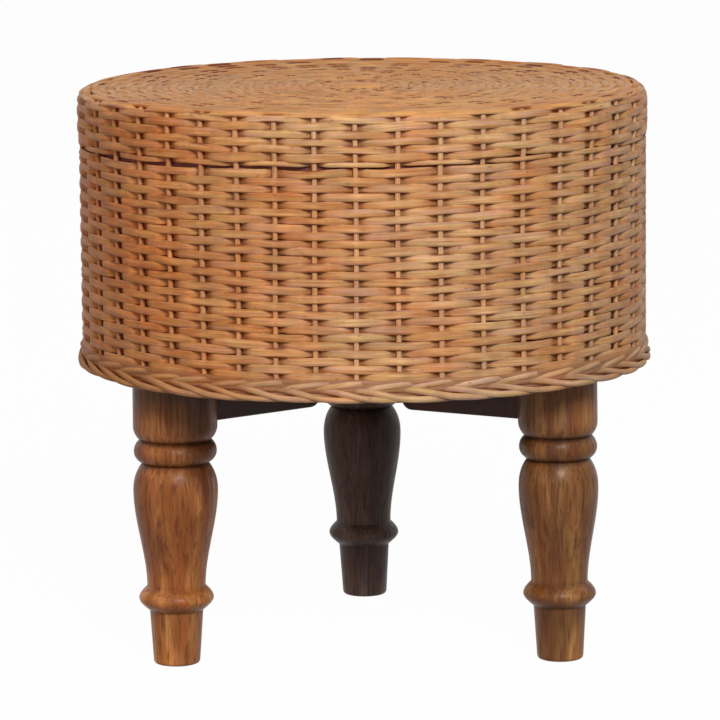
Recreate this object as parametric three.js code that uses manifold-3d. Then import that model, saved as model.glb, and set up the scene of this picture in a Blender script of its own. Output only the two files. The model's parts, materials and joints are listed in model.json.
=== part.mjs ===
// A round stool with a woven cane drum on three turned wooden legs.
// Millimetres, +Z up, origin on the floor under the middle of the seat. The front faces -Y.
import * as THREE from 'three';
import { mergeVertices } from 'three/addons/utils/BufferGeometryUtils.js';
import Module from 'manifold-3d';

const wasm = await Module();
wasm.setup();

// Driving dimensions of the whole stool
const seatHeight = 450; // floor to the top of the weave
const drumRadius = 226.5; // outside of the weave on the wall
const drumBottom = 229; // floor to the underside of the plaited border
const legToBorder = 10.5; // clear space between a leg's block and the border round it
const fitGap = 0.3; // clearance between pieces that touch
const overrun = 4; // how far a cutter runs past what it cuts
const weldDistance = 0.001; // vertices closer than this are one

// Cane sizes
const stakeCount = 40; // uprights of the basketwork
const stakeDiameter = 4.6;
// The stakes are spaced by eye. Degrees that they stray from even places, as seen from the front:
// the same for all, and the sine and cosine shares that come once and twice round the drum.
const stakeStray = -0.72;
const stakeStrayWaves = [[-0.96, 0.35], [-2.4, -1.9]];
const weaverThickness = 3.1; // how thick a weaver is, measured through the wall
const rowPitch = 6.1; // one row of weaving to the next
const hoopThickness = 10; // bentwood hoops that keep the drum round
const hoopHeight = 14;

// Woven seat cap: the top, its rounded shoulder and the first rows of the wall
const shoulderRadius = 12;
const centreDiscRadius = 20; // flat coiled middle of the seat
const pairedRadius = 62; // inside this the weavers pass two stakes at a time
const seamDepth = 42; // top of the seat to the open row between the cap and the wall
const seamGap = 2;

// Plaited border and the waling over it
const borderHeight = 10;
const borderReach = 3.3; // how far the border stands out past the wall
const borderDepth = 13; // through the wall
const borderRelief = 0.9; // depth of the hollows between the border's strands
const waleHeight = 8.2;
const waleReach = 1.2; // how far the waling stands out past the wall
const waleRelief = 0.8;
// Section of the border and the waling as shares of depth and height, rising on its outside
const ropeSectionShares = [[0, 0], [0.8, 0], [1, 0.5], [0.8, 1], [0, 1]];

// Boards and posts inside the drum
const boardThickness = 12;
const postCount = 6;
const postDiameter = 22;
const postSides = 8;
const postInset = 1.5; // a post's side to the rim of the boards

// Rails under the drum, from each leg towards the middle
const railDrop = 38; // how far a rail hangs below the border
const railHeight = 45;
const railWidth = 28;
const railInnerEnd = 41; // middle of the stool to a rail's inner end
const railCornerRadius = 9; // rounded lower corner of the inner end
const railCornerSteps = 5;
const tenonLength = 18;
const tenonWidth = 12;
const tenonHeight = 28;

// Turned leg, from the floor up: foot, shin, ring, vase, bead and block
const legSides = 16;
const legCurveSteps = 3;
const leftGirthShare = 1.03; // the legs are turned by hand, so none is quite alike
const rightGirthShare = 0.97;
const backGirthShare = 1;
const footRadius = 18.4;
const footRounding = 3.5;
const shinRadius = 20.8;
const shinTop = 42;
const ringRadius = 29.1;
const ringBottom = 43.5;
const ringTop = 62.5;
// Shares that draw the ring's flank, its hollow beside the leg and its rounded nose
const ringFlankShare = 0.3;
const ringFilletShare = 0.2;
const ringNoseShare = 0.4;
const ankleRadius = 22.7;
const vaseRadius = 32.4;
const vaseHeight = 139;
const neckRadius = 25.6;
const neckHeight = 161;
const beadRadius = 31.7;
const collarRadius = 27.4;
const collarHeight = 179.5;
const blockRadius = 32.3;
const blockRoundingTop = 191;
const roundingShare = 0.4; // how soon a rounding reaches its full width from a groove

// Fasteners
const screw = { shank: 2, head: 4, headDepth: 3, length: 38, tip: 4, sides: 6 };
const bolt = { shank: 4, head: 7.5, headDepth: 5.5, length: 58, tip: 5, sides: 8 };
const boltHeadSides = 6;
const washerRadius = 11;
const washerThickness = 1.6;
const washerSides = 8;
const railScrewShares = [0.28, 0.73]; // places of a rail's screws, from its inner end to its leg

// Levels and radii that follow from the sizes above
const skinDepth = stakeDiameter + 2 * weaverThickness;
const skinInnerRadius = drumRadius - skinDepth;
const borderInnerRadius = drumRadius + borderReach - borderDepth;
const legCircleRadius = borderInnerRadius - legToBorder - blockRadius;
const seamHeight = seatHeight - seamDepth;
const hoopOuterRadius = skinInnerRadius - fitGap;
const hoopInnerRadius = hoopOuterRadius - hoopThickness;
const boardRadius = hoopInnerRadius - fitGap;
const postRingRadius = boardRadius - postInset - postDiameter / 2;
const seatUnderside = seatHeight - skinDepth;
const seatBoardTop = seatUnderside - fitGap;
const seatBoardBottom = seatBoardTop - boardThickness;
const railBottom = drumBottom - railDrop;
const railTop = railBottom + railHeight;
const railOuterEnd = legCircleRadius - blockRadius; // where a rail meets the block of a leg
const railScrewPlaces = railScrewShares.map((share) => (
  railInnerEnd + share * (railOuterEnd - railInnerEnd)
));
const baseBoardBottom = railTop + fitGap;
const baseBoardTop = baseBoardBottom + boardThickness;
const middleHoopBottom = (baseBoardTop + seatBoardBottom - hoopHeight) / 2;
const waleBottom = drumBottom + borderHeight + fitGap;
const waleTop = waleBottom + waleHeight;
const wallBottom = waleTop + fitGap;
const wallTop = seamHeight - seamGap / 2;
const capBottom = seamHeight + seamGap / 2;
const legTop = baseBoardBottom - fitGap;
const tenonMiddle = railBottom + railHeight / 2;

const turn = 2 * Math.PI;
const legs = {
  left: { angle: 210, girthShare: leftGirthShare }, // degrees about +Z from +X
  right: { angle: 330, girthShare: rightGirthShare },
  back: { angle: 90, girthShare: backGirthShare },
};

// Colours, as the pieces look in daylight
const cane = new THREE.MeshStandardMaterial({ color: 0xc99a63, roughness: 0.55, metalness: 0 });
const wood = new THREE.MeshStandardMaterial({ color: 0x8a5630, roughness: 0.4, metalness: 0 });
const bentwood = new THREE.MeshStandardMaterial({ color: 0xb08850, roughness: 0.7, metalness: 0 });
const darkWood = new THREE.MeshStandardMaterial({ color: 0x3a2a22, roughness: 0.6, metalness: 0 });
const plywood = new THREE.MeshStandardMaterial({ color: 0xc2a070, roughness: 0.75, metalness: 0 });
const steel = new THREE.MeshStandardMaterial({ color: 0x9a9a98, roughness: 0.4, metalness: 1 });

// A closed geometry as a solid that can be joined and cut.
function solidOf(geometry) {
  const bare = geometry.index ? geometry.toNonIndexed() : geometry.clone();
  bare.deleteAttribute('normal');
  bare.deleteAttribute('uv');
  const merged = mergeVertices(bare, weldDistance);
  const triVerts = new Uint32Array(merged.index.array);
  const vertProperties = merged.attributes.position.array;
  return new wasm.Manifold(new wasm.Mesh({ numProp: 3, vertProperties, triVerts }));
}

// The geometry of a solid.
function geometryOf(solid) {
  const { numProp, numVert, vertProperties, triVerts } = solid.getMesh();
  const position = new Float32Array(3 * numVert);
  for (let i = 0; i < numVert; i += 1) {
    position.set(vertProperties.subarray(numProp * i, numProp * i + 3), 3 * i);
  }
  const geometry = new THREE.BufferGeometry();
  geometry.setAttribute('position', new THREE.BufferAttribute(position, 3));
  geometry.setIndex(new THREE.BufferAttribute(new Uint32Array(triVerts), 1));
  return geometry;
}

// A profile of [radius, height] points, rising on its outside, revolved about +Z.
function revolved(points, sides) {
  const profile = points.map(([radius, height]) => new THREE.Vector2(radius, height));
  return new THREE.LatheGeometry(profile, sides).rotateX(Math.PI / 2);
}

// An upright cylinder about +Z between two heights.
function cylinder(radius, bottom, top, sides) {
  return revolved([[0, bottom], [radius, bottom], [radius, top], [0, top]], sides);
}

// A box with its middle at the given place.
function block(length, width, height, x, y, z) {
  return new THREE.BoxGeometry(length, width, height).translate(x, y, z);
}

function named(name, geometry, material) {
  const mesh = new THREE.Mesh(geometry, material);
  mesh.name = name;
  return mesh;
}

// The angle of a stake, or of a place between two, about +Z from the front.
function stakeAngle(stake) {
  const even = (turn * stake) / stakeCount;
  const stray = stakeStrayWaves.reduce((sum, [sine, cosine], i) => (
    sum + sine * Math.sin((i + 1) * even) + cosine * Math.cos((i + 1) * even)
  ), stakeStray);
  return even + THREE.MathUtils.degToRad(stray);
}

// Joins rings of vertices into a closed skin. Each ring is { at(column): [radius, height],
// relief(column) }, and a ring at radius 0 closes to a pole. Quads fold along their lower diagonal,
// so that each raised crossing of the weave is a long pointed lozenge.
function wovenSkin(rings, columns, loop) {
  const position = [];
  const index = [];
  rings.forEach((ring) => {
    for (let column = 0; column < columns; column += 1) {
      const [radius, height] = ring.at(column);
      const angle = stakeAngle((stakeCount * column) / columns);
      position.push(radius * Math.sin(angle), -radius * Math.cos(angle), height);
    }
  });
  const bands = loop ? rings.length : rings.length - 1;
  for (let band = 0; band < bands; band += 1) {
    const below = band;
    const above = (band + 1) % rings.length;
    for (let column = 0; column < columns; column += 1) {
      const next = (column + 1) % columns;
      const a = below * columns + column;
      const b = below * columns + next;
      const c = above * columns + next;
      const d = above * columns + column;
      const acrossAC = rings[below].relief(column) + rings[above].relief(next);
      const acrossBD = rings[below].relief(next) + rings[above].relief(column);
      if (acrossAC < acrossBD) {
        index.push(a, b, c, a, c, d);
      } else {
        index.push(a, b, d, b, c, d);
      }
    }
  }
  const skin = new THREE.BufferGeometry();
  skin.setAttribute('position', new THREE.Float32BufferAttribute(position, 3));
  skin.setIndex(index);
  return geometryOf(solidOf(skin));
}

// A ring without relief.
function plainRing(radius, height) {
  return { at: () => [radius, height], relief: () => 0 };
}

// Whether a weaver passes over a stake: plain weave over single stakes, or over pairs of them.
function passesOver(column, row, paired) {
  const step = paired ? Math.floor(column / 2) : column;
  return (step + row) % 2 === 0;
}

// The rings of a woven stretch. place(distance) gives { radius, height, out, up } with the outward
// normal, and firstRow is the number of rows that lie before the stretch.
function wovenRings(place, length, pitch, firstRow, paired) {
  const rows = Math.round(length / pitch);
  return Array.from({ length: rows }, (_, i) => {
    const { radius, height, out, up } = place(((i + 0.5) / rows) * length);
    const row = firstRow + i;
    const relief = (column) => (passesOver(column, row, paired(radius)) ? 0 : -weaverThickness);
    const at = (column) => [radius + out * relief(column), height + up * relief(column)];
    return { at, relief };
  });
}

// The drum's wall under the seam, rows of weaving round the stakes.
function makeWovenWall() {
  const edgeRadius = drumRadius - weaverThickness / 2;
  const place = (distance) => ({ radius: drumRadius, height: wallBottom + distance, out: 1, up: 0 });
  const rings = [
    plainRing(skinInnerRadius, wallBottom),
    plainRing(edgeRadius, wallBottom),
    ...wovenRings(place, wallTop - wallBottom, rowPitch, 0, () => false),
    plainRing(edgeRadius, wallTop),
    plainRing(skinInnerRadius, wallTop),
  ];
  return named('woven_wall', wovenSkin(rings, stakeCount, true), cane);
}

// The woven seat: a flat top, the shoulder over the top hoop, and a short skirt down to the seam.
function makeWovenSeat() {
  const flatRadius = drumRadius - shoulderRadius;
  const shoulderLength = (turn / 4) * shoulderRadius;
  const shoulderHeight = seatHeight - shoulderRadius;
  const edgeRadius = drumRadius - weaverThickness / 2;
  const onTop = (distance) => (
    { radius: centreDiscRadius + distance, height: seatHeight, out: 0, up: 1 }
  );
  const onSide = (distance) => {
    const angle = Math.min(distance / shoulderRadius, turn / 4);
    const down = Math.max(distance - shoulderLength, 0);
    const out = Math.sin(angle);
    const up = Math.cos(angle);
    const height = shoulderHeight + shoulderRadius * up - down;
    return { radius: flatRadius + shoulderRadius * out, height, out, up };
  };
  const paired = (radius) => radius < pairedRadius;
  const sideLength = shoulderLength + shoulderHeight - capBottom;
  const topRings = wovenRings(onTop, flatRadius - centreDiscRadius, rowPitch, 0, paired);
  const sideRings = wovenRings(onSide, sideLength, rowPitch, topRings.length, paired);
  const rings = [
    plainRing(0, seatUnderside),
    plainRing(skinInnerRadius, seatUnderside),
    plainRing(skinInnerRadius, capBottom),
    plainRing(edgeRadius, capBottom),
    ...[...topRings, ...sideRings].reverse(),
    plainRing(centreDiscRadius, seatHeight),
    plainRing(0, seatHeight),
  ];
  return named('woven_seat', wovenSkin(rings, stakeCount, false), cane);
}

// A rope-like ring of cane with its strands as slanting ridges, two facets to a stake.
function ropeRing(outerRadius, depth, bottom, height, hollow) {
  const rings = ropeSectionShares.map(([depthShare, heightShare], i) => {
    const sunk = (column) => (depthShare > 0 && (column + i) % 2 === 0 ? -hollow : 0);
    const at = (column) => [
      outerRadius - depth * (1 - depthShare) + sunk(column),
      bottom + height * heightShare,
    ];
    return { at, relief: sunk };
  });
  return wovenSkin(rings, 2 * stakeCount, true);
}

// The stakes' ends plaited together under the wall.
function makeBorder() {
  const ring = ropeRing(drumRadius + borderReach, borderDepth, drumBottom, borderHeight, borderRelief);
  return named('border_plait', ring, cane);
}

// Three rods twisted round the stakes between the wall and the border.
function makeWaling() {
  const ring = ropeRing(drumRadius + waleReach, skinDepth, waleBottom, waleHeight, waleRelief);
  return named('wale_band', ring, cane);
}

// A round board with a corner at each stake, as the hoops round it have.
function roundBoard(bottom) {
  const top = bottom + boardThickness;
  const section = [
    plainRing(0, bottom),
    plainRing(boardRadius, bottom),
    plainRing(boardRadius, top),
    plainRing(0, top),
  ];
  return solidOf(wovenSkin(section, stakeCount, false));
}

// A bentwood hoop that the weave is stretched over.
function makeHoop(name, bottom) {
  const top = bottom + hoopHeight;
  const section = [
    plainRing(hoopInnerRadius, bottom),
    plainRing(hoopOuterRadius, bottom),
    plainRing(hoopOuterRadius, top),
    plainRing(hoopInnerRadius, top),
  ];
  return named(name, wovenSkin(section, stakeCount, true), bentwood);
}

// The turned outline of a screw or bolt that points down from height 0, its head's seat. grown is
// the clearance round it, 0 for the fastener itself. A sunk head is a cone that ends at height 0, and
// otherwise the shank runs on half a head's depth upwards.
function fastener(sizes, grown, sunk) {
  const { shank, head, headDepth, length, tip, sides } = sizes;
  const shankTop = sunk ? -headDepth : headDepth / 2;
  const shaft = [
    [0, -length - grown],
    [shank / 2, -length - grown],
    [shank + grown, -length + tip - grown],
    [shank + grown, shankTop],
  ];
  const end = sunk ? [[head + grown, 0], [0, 0]] : [[0, shankTop]];
  return revolved([...shaft, ...end], sides);
}

// The hole for a countersunk screw, open past the face that its head lies in.
function screwHole() {
  const mouth = cylinder(screw.head + fitGap, 0, overrun, screw.sides);
  return solidOf(fastener(screw, fitGap, true)).add(solidOf(mouth));
}

// The hole for a bolt's shank, open past the face under its head.
function boltHole() {
  return solidOf(fastener(bolt, fitGap, false));
}

// A hexagon-headed bolt whose head stands on height 0.
function makeBolt(name) {
  const head = solidOf(cylinder(bolt.head, 0, bolt.headDepth, boltHeadSides));
  return named(name, geometryOf(head.add(solidOf(fastener(bolt, 0, false)))), steel);
}

function makeWasher(name, bottom) {
  const hole = bolt.shank + fitGap;
  const top = bottom + washerThickness;
  const section = [[hole, bottom], [washerRadius, bottom], [washerRadius, top], [hole, top], [hole, bottom]];
  return named(name, revolved(section, washerSides), steel);
}

// The turned outline of a leg, from the middle of its foot up to the middle of its top.
function legOutline() {
  const outline = new THREE.Path();
  const ringMiddle = (ringBottom + ringTop) / 2;
  const ringRise = ringMiddle - ringBottom;
  const ringFillet = ringFilletShare * ringRise;
  const ringNose = ringNoseShare * ringRise;
  const lowFlank = shinRadius + ringFlankShare * (ringRadius - shinRadius);
  const highFlank = ankleRadius + ringFlankShare * (ringRadius - ankleRadius);
  const waistThird = (vaseHeight - ringTop) / 3;
  const vaseShoulder = neckHeight - roundingShare * (neckHeight - vaseHeight);
  const beadMiddle = (neckHeight + collarHeight) / 2;
  const beadEase = roundingShare * (beadMiddle - neckHeight);
  const blockEase = roundingShare * (blockRoundingTop - collarHeight);
  outline.moveTo(0, 0);
  outline.lineTo(footRadius - footRounding, 0);
  outline.quadraticCurveTo(footRadius, 0, footRadius, footRounding);
  outline.lineTo(shinRadius, shinTop);
  outline.lineTo(shinRadius, ringBottom);
  outline.bezierCurveTo(
    lowFlank,
    ringBottom + ringFillet,
    ringRadius,
    ringMiddle - ringNose,
    ringRadius,
    ringMiddle,
  );
  outline.bezierCurveTo(
    ringRadius,
    ringMiddle + ringNose,
    highFlank,
    ringTop - ringFillet,
    ankleRadius,
    ringTop,
  );
  outline.bezierCurveTo(
    ankleRadius,
    ringTop + waistThird,
    vaseRadius,
    vaseHeight - waistThird,
    vaseRadius,
    vaseHeight,
  );
  outline.quadraticCurveTo(vaseRadius, vaseShoulder, neckRadius, neckHeight);
  outline.quadraticCurveTo(beadRadius, neckHeight + beadEase, beadRadius, beadMiddle);
  outline.quadraticCurveTo(beadRadius, collarHeight - beadEase, collarRadius, collarHeight);
  outline.quadraticCurveTo(blockRadius, collarHeight + blockEase, blockRadius, blockRoundingTop);
  outline.lineTo(blockRadius, legTop);
  outline.lineTo(0, legTop);
  return outline.getPoints(legCurveSteps).map((point) => [point.x, point.y]);
}

const legProfile = legOutline();

// A turned leg with the mortise for its rail, which faces -X, and the hole for its bolt. The legs
// are alike at the floor and differ in girth from the vase up.
function makeLeg(name, girthShare) {
  const profile = legProfile.map(([radius, height]) => {
    const growth = Math.min(height / vaseHeight, 1);
    return [radius * (1 + growth * (girthShare - 1)), height];
  });
  const turned = solidOf(revolved(profile, legSides));
  const mortiseLength = tenonLength + fitGap;
  const mortise = solidOf(block(
    mortiseLength + overrun,
    tenonWidth + 2 * fitGap,
    tenonHeight + 2 * fitGap,
    (mortiseLength - overrun) / 2 - blockRadius,
    0,
    tenonMiddle,
  ));
  const hole = boltHole().translate([0, 0, baseBoardTop + washerThickness + fitGap]);
  const leg = named(name, geometryOf(turned.subtract(mortise).subtract(hole)), wood);
  leg.position.x = legCircleRadius;
  return leg;
}

// A rail along +X, scribed round the leg's block and tenoned into it.
function makeRail(name, girthShare) {
  const side = new THREE.Shape();
  side.moveTo(railInnerEnd, railTop);
  side.lineTo(railInnerEnd, railBottom + railCornerRadius);
  side.absarc(
    railInnerEnd + railCornerRadius,
    railBottom + railCornerRadius,
    railCornerRadius,
    Math.PI,
    1.5 * Math.PI,
  );
  side.lineTo(legCircleRadius, railBottom);
  side.lineTo(legCircleRadius, railTop);
  const bar = new THREE.ExtrudeGeometry(side, {
    depth: railWidth,
    bevelEnabled: false,
    curveSegments: railCornerSteps,
  });
  bar.rotateX(Math.PI / 2).translate(0, railWidth / 2, 0);
  const roomRadius = blockRadius * girthShare + fitGap;
  const legRoom = solidOf(cylinder(roomRadius, railBottom - overrun, railTop + overrun, 2 * legSides));
  const tenonStart = railOuterEnd - tenonWidth;
  const tenonEnd = railOuterEnd + tenonLength;
  const tenon = solidOf(block(
    tenonEnd - tenonStart,
    tenonWidth,
    tenonHeight,
    (tenonEnd + tenonStart) / 2,
    0,
    tenonMiddle,
  ));
  let rail = solidOf(bar).subtract(legRoom.translate([legCircleRadius, 0, 0])).add(tenon);
  railScrewPlaces.forEach((place) => {
    rail = rail.subtract(screwHole().translate([place, 0, baseBoardTop]));
  });
  return named(name, geometryOf(rail), darkWood);
}

// One screw, its head at the given height, pointing down, or up where flipped.
function makeScrew(name, x, y, height, flipped) {
  const mesh = named(name, fastener(screw, 0, true), steel);
  mesh.position.set(x, y, height);
  mesh.rotation.x = flipped ? Math.PI : 0;
  return mesh;
}

// A leg with all that belongs to it, drawn along +X and turned to its place.
function makeLegGroup(side, { angle, girthShare }) {
  const group = new THREE.Group();
  group.rotation.z = THREE.MathUtils.degToRad(angle);
  const legBolt = makeBolt(`leg_bolt_${side}`);
  const boltSeat = baseBoardTop + fitGap + washerThickness + fitGap;
  legBolt.position.set(legCircleRadius, 0, boltSeat);
  const washer = makeWasher(`leg_washer_${side}`, baseBoardTop + fitGap);
  washer.position.x = legCircleRadius;
  group.add(makeLeg(`leg_${side}`, girthShare), makeRail(`rail_${side}`, girthShare), legBolt, washer);
  railScrewPlaces.forEach((place, i) => {
    group.add(makeScrew(`rail_screw_${side}_${i + 1}`, place, 0, baseBoardTop, false));
  });
  return group;
}

// Where a post stands, as [x, y].
function postPlace(post) {
  const angle = (turn * post) / postCount;
  return [postRingRadius * Math.cos(angle), postRingRadius * Math.sin(angle)];
}

// An upright between the boards, drilled at both ends for its screws.
function makePost(post) {
  const bottom = baseBoardTop + fitGap;
  const top = seatBoardBottom - fitGap;
  const lowHole = screwHole().rotate([180, 0, 0]).translate([0, 0, baseBoardBottom]);
  const highHole = screwHole().translate([0, 0, seatBoardTop]);
  const pole = solidOf(cylinder(postDiameter / 2, bottom, top, postSides));
  const mesh = named(`post_${post + 1}`, geometryOf(pole.subtract(lowHole).subtract(highHole)), wood);
  const [x, y] = postPlace(post);
  mesh.position.set(x, y, 0);
  return mesh;
}

// The round board under the weave that carries the sitter.
function makeSeatBoard() {
  let board = roundBoard(seatBoardBottom);
  for (let post = 0; post < postCount; post += 1) {
    board = board.subtract(screwHole().translate([...postPlace(post), seatBoardTop]));
  }
  return named('seat_board', geometryOf(board), plywood);
}

// The round board in the bottom of the drum that the legs and rails are fixed under.
function makeBaseBoard() {
  let board = roundBoard(baseBoardBottom);
  for (let post = 0; post < postCount; post += 1) {
    const hole = screwHole().rotate([180, 0, 0]);
    board = board.subtract(hole.translate([...postPlace(post), baseBoardBottom]));
  }
  Object.values(legs).forEach(({ angle }) => {
    const direction = THREE.MathUtils.degToRad(angle);
    const along = (distance) => [distance * Math.cos(direction), distance * Math.sin(direction)];
    const hole = boltHole().rotate([0, 0, angle]);
    board = board.subtract(hole.translate([...along(legCircleRadius), baseBoardTop + washerThickness]));
    railScrewPlaces.forEach((place) => {
      const screwRoom = screwHole().rotate([0, 0, angle]);
      board = board.subtract(screwRoom.translate([...along(place), baseBoardTop]));
    });
  });
  return named('base_board', geometryOf(board), plywood);
}

const stool = new THREE.Group();
Object.entries(legs).forEach(([side, leg]) => stool.add(makeLegGroup(side, leg)));
stool.add(makeBaseBoard(), makeSeatBoard());
for (let post = 0; post < postCount; post += 1) {
  const [x, y] = postPlace(post);
  stool.add(makePost(post));
  stool.add(makeScrew(`post_screw_low_${post + 1}`, x, y, baseBoardBottom, true));
  stool.add(makeScrew(`post_screw_high_${post + 1}`, x, y, seatBoardTop, false));
}
stool.add(
  makeHoop('top_hoop', seatBoardTop - hoopHeight),
  makeHoop('middle_hoop', middleHoopBottom),
  makeHoop('bottom_hoop', baseBoardBottom),
);
stool.add(makeWovenSeat(), makeWovenWall(), makeWaling(), makeBorder());

export default stool;
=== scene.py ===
import json
import math

import bmesh
import bpy
import numpy as np
from bpy.props import FloatProperty, FloatVectorProperty, IntProperty, PointerProperty
from mathutils import Matrix, Vector

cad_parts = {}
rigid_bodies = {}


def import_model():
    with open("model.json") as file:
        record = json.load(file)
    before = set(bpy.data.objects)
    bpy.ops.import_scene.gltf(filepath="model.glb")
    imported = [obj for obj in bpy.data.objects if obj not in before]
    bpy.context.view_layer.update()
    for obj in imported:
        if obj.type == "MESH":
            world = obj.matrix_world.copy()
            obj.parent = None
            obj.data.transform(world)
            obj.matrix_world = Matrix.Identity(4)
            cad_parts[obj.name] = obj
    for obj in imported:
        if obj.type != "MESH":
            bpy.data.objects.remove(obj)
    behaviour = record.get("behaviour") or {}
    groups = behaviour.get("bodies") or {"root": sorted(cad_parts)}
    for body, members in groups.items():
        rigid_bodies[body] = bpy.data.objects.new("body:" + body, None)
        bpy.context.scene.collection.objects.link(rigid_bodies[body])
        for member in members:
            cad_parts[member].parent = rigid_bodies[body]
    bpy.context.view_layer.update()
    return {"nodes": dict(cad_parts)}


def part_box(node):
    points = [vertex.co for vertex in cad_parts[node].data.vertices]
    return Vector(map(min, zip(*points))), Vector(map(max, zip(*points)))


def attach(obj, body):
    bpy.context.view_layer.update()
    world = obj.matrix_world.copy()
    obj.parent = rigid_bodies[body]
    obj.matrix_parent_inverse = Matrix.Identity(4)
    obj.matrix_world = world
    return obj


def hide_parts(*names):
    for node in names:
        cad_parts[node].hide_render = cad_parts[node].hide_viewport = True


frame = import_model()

bl_info = {
    "name": "Woven cane stool",
    "version": (1, 0, 0),
    "blender": (4, 5, 0),
    "location": "View3D > Sidebar > Stool",
    "description": "Builds a round woven cane stool on three turned legs, and a plain studio round it",
    "category": "Object",
}

WALL_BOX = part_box("woven_wall")
SEAT_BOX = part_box("woven_seat")
LEG_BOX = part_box("leg_back")
RAIL_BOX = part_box("rail_back")

MM = 0.001
BODY = "root"
# Each leg: its angle in degrees, its girth over the vase, how far its foot leans in millimetres, its shade,
# the heights in metres over which painted shadow from the drum darkens its block, and how much painted light
# brightens the rest of the block. The back leg's shade is painted shade; the left and right legs' shades are
# partly their wood's tone and partly painted light
LEG_SIDES = {
    "left": (210, 1.03, -0.9, (1.0, 1.04, 1.02), (0.196, 0.216), 1.25),
    "right": (330, 0.97, 1.1, (0.68, 0.8, 0.82), (0.216, 0.24), 1.75),
    "back": (90, 1.0, 1.1, (0.28, 0.5, 1.4), (0.18, 0.21), 1.0),
}
# Painted shade in the grooves of a leg: the height and reach of each groove in millimetres, and how dark it
# is
GROOVE_SHADES = ((43.0, 1.8, 0.6), (62.0, 2.5, 0.3), (161.0, 1.8, 0.9), (179.5, 2.2, 0.9))
# Each rail, in millimetres: how much less its lower edge hangs at the inner end and at the leg, and how much
# it is shorter. Its shade comes last: the right rail's is painted light
RAIL_SIDES = {
    "left": (4.8, 2.0, 8.0, (1.0, 1.0, 1.0)),
    "right": (0.8, 0.8, 0.0, (1.45, 1.2, 1.28)),
    "back": (0.0, 0.0, 0.0, (1.0, 1.0, 1.0)),
}
# Traits: the strand's number; its tone, with a painted highlight where it crests a stake; painted shade
# where it tucks behind a stake; and painted shade along its flanks
TRAITS = ("strand", "tone_and_highlight", "tuck_shade", "flank_shade")  # what a strand's mesh tells its material


def linear(red, green, blue):
    """A display colour of 0 to 255 a channel, as linear light."""
    shares = (channel / 255 for channel in (red, green, blue))
    return tuple(c / 12.92 if c <= 0.04045 else ((c + 0.055) / 1.055) ** 2.4 for c in shares)


def length_property(name, description, millimetres):
    return FloatProperty(
        name=name, description=description, default=millimetres * MM, unit="LENGTH", precision=4
    )


def colour_property(name, description, colour):
    return FloatVectorProperty(
        name=name, description=description, default=linear(*colour), subtype="COLOR", min=0, max=1
    )


# Settings of the stool

class WeaveSettings(bpy.types.PropertyGroup):
    stakes: IntProperty(name="Stakes", description="Uprights round the drum", default=40, min=8)
    stake_width: length_property("Stake width", "Width of an upright as seen from outside", 3.9)
    stake_depth: length_property("Stake depth", "Thickness of an upright through the wall", 3.4)
    weaver_depth: length_property("Weaver depth", "Thickness of a weaver through the wall", 2.6)
    float_height: length_property("Float height", "Height of a weaver where it passes a stake outside", 6.8)
    tuck_height: length_property("Tuck height", "Height of a weaver where it passes a stake inside", 7.0)
    row_pitch: length_property("Row pitch", "One row of weaving to the next", 6.1)
    seam_row: length_property("Seam row", "Height of the thin row over the open seam", 3.6)
    shoulder_radius: length_property("Shoulder radius", "Rounding of the seat's edge", 6.3)
    paired_radius: length_property("Paired radius", "Inside this the weavers pass two stakes at a time", 62)
    disc_radius: length_property("Disc radius", "Coiled middle of the seat", 20)
    border_width: length_property("Border strand width", "Thickness of a border strand", 4.3)
    wale_width: length_property("Waling rod width", "Thickness of a rod of the waling", 4.4)


class LegSettings(bpy.types.PropertyGroup):
    foot_radius: length_property("Foot radius", "Leg at the floor", 18.4)
    foot_rounding: length_property("Foot rounding", "Eased edge of the foot", 3.5)
    shin_radius: length_property("Shin radius", "Leg under its ring", 20.8)
    ring_radius: length_property("Ring radius", "Ring over the shin", 29.1)
    ankle_radius: length_property("Ankle radius", "Leg over its ring", 22.7)
    vase_radius: length_property("Vase radius", "Widest part of the vase", 32.4)
    neck_radius: length_property("Neck radius", "Groove under the bead", 25.4)
    bead_radius: length_property("Bead radius", "Bead under the block", 31.7)
    collar_radius: length_property("Collar radius", "Groove over the bead", 27.2)
    block_radius: length_property("Block radius", "Plain top of the leg", 32.3)


class ColourSettings(bpy.types.PropertyGroup):
    cane_pale: colour_property("Pale cane", "Cane where it is palest", (240, 189, 135))
    cane_tan: colour_property("Tan cane", "Cane in the main", (224, 164, 111))
    cane_orange: colour_property("Orange cane", "Cane where it is warmest", (209, 131, 74))
    cane_gold: colour_property("Gold cane", "Cane where it is yellowish", (218, 174, 108))
    cane_pink: colour_property("Pink cane", "Cane where it is greyish and pink", (222, 168, 139))
    # Painted shade: the colour of cane deep in the tucks between the rows, also used for its dark specks
    cane_shade_and_speck: colour_property("Tucked cane", "Cane deep between the rows", (138, 74, 40))
    # Painted shade: dark cane put inside the drum where shade shows through the open seam
    cane_seam_shade: colour_property("Hidden cane", "Cane inside the drum, seen through the seam", (148, 90, 86))
    wood_pale: colour_property("Pale wood", "Pale streaks of the legs", (204, 134, 80))
    wood_brown: colour_property("Brown wood", "Legs in the main", (150, 84, 42))
    wood_dark: colour_property("Dark wood", "Grain lines and grooves of the legs", (84, 38, 24))
    # Partly the rails' dark stain and partly painted shade from under the drum
    rail_brown: colour_property("Rail", "Dark wood of the rails", (48, 34, 28))
    board_tan: colour_property("Board", "Plywood boards", (176, 140, 96))


SETTINGS = {
    "stool_weave": WeaveSettings,
    "stool_legs": LegSettings,
    "stool_colours": ColourSettings,
}


# Shared mesh work

def deselect():
    for other in bpy.context.view_layer.objects:
        other.select_set(False)


def select_only(piece):
    deselect()
    piece.select_set(True)
    bpy.context.view_layer.objects.active = piece


def finish_piece(piece, material, nodes=()):
    """Gives a piece its finish and puts it on the stool."""
    piece.data.materials.clear()
    piece.data.materials.append(material)
    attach(piece, BODY)
    if nodes:
        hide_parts(*nodes)
    return piece


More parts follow.
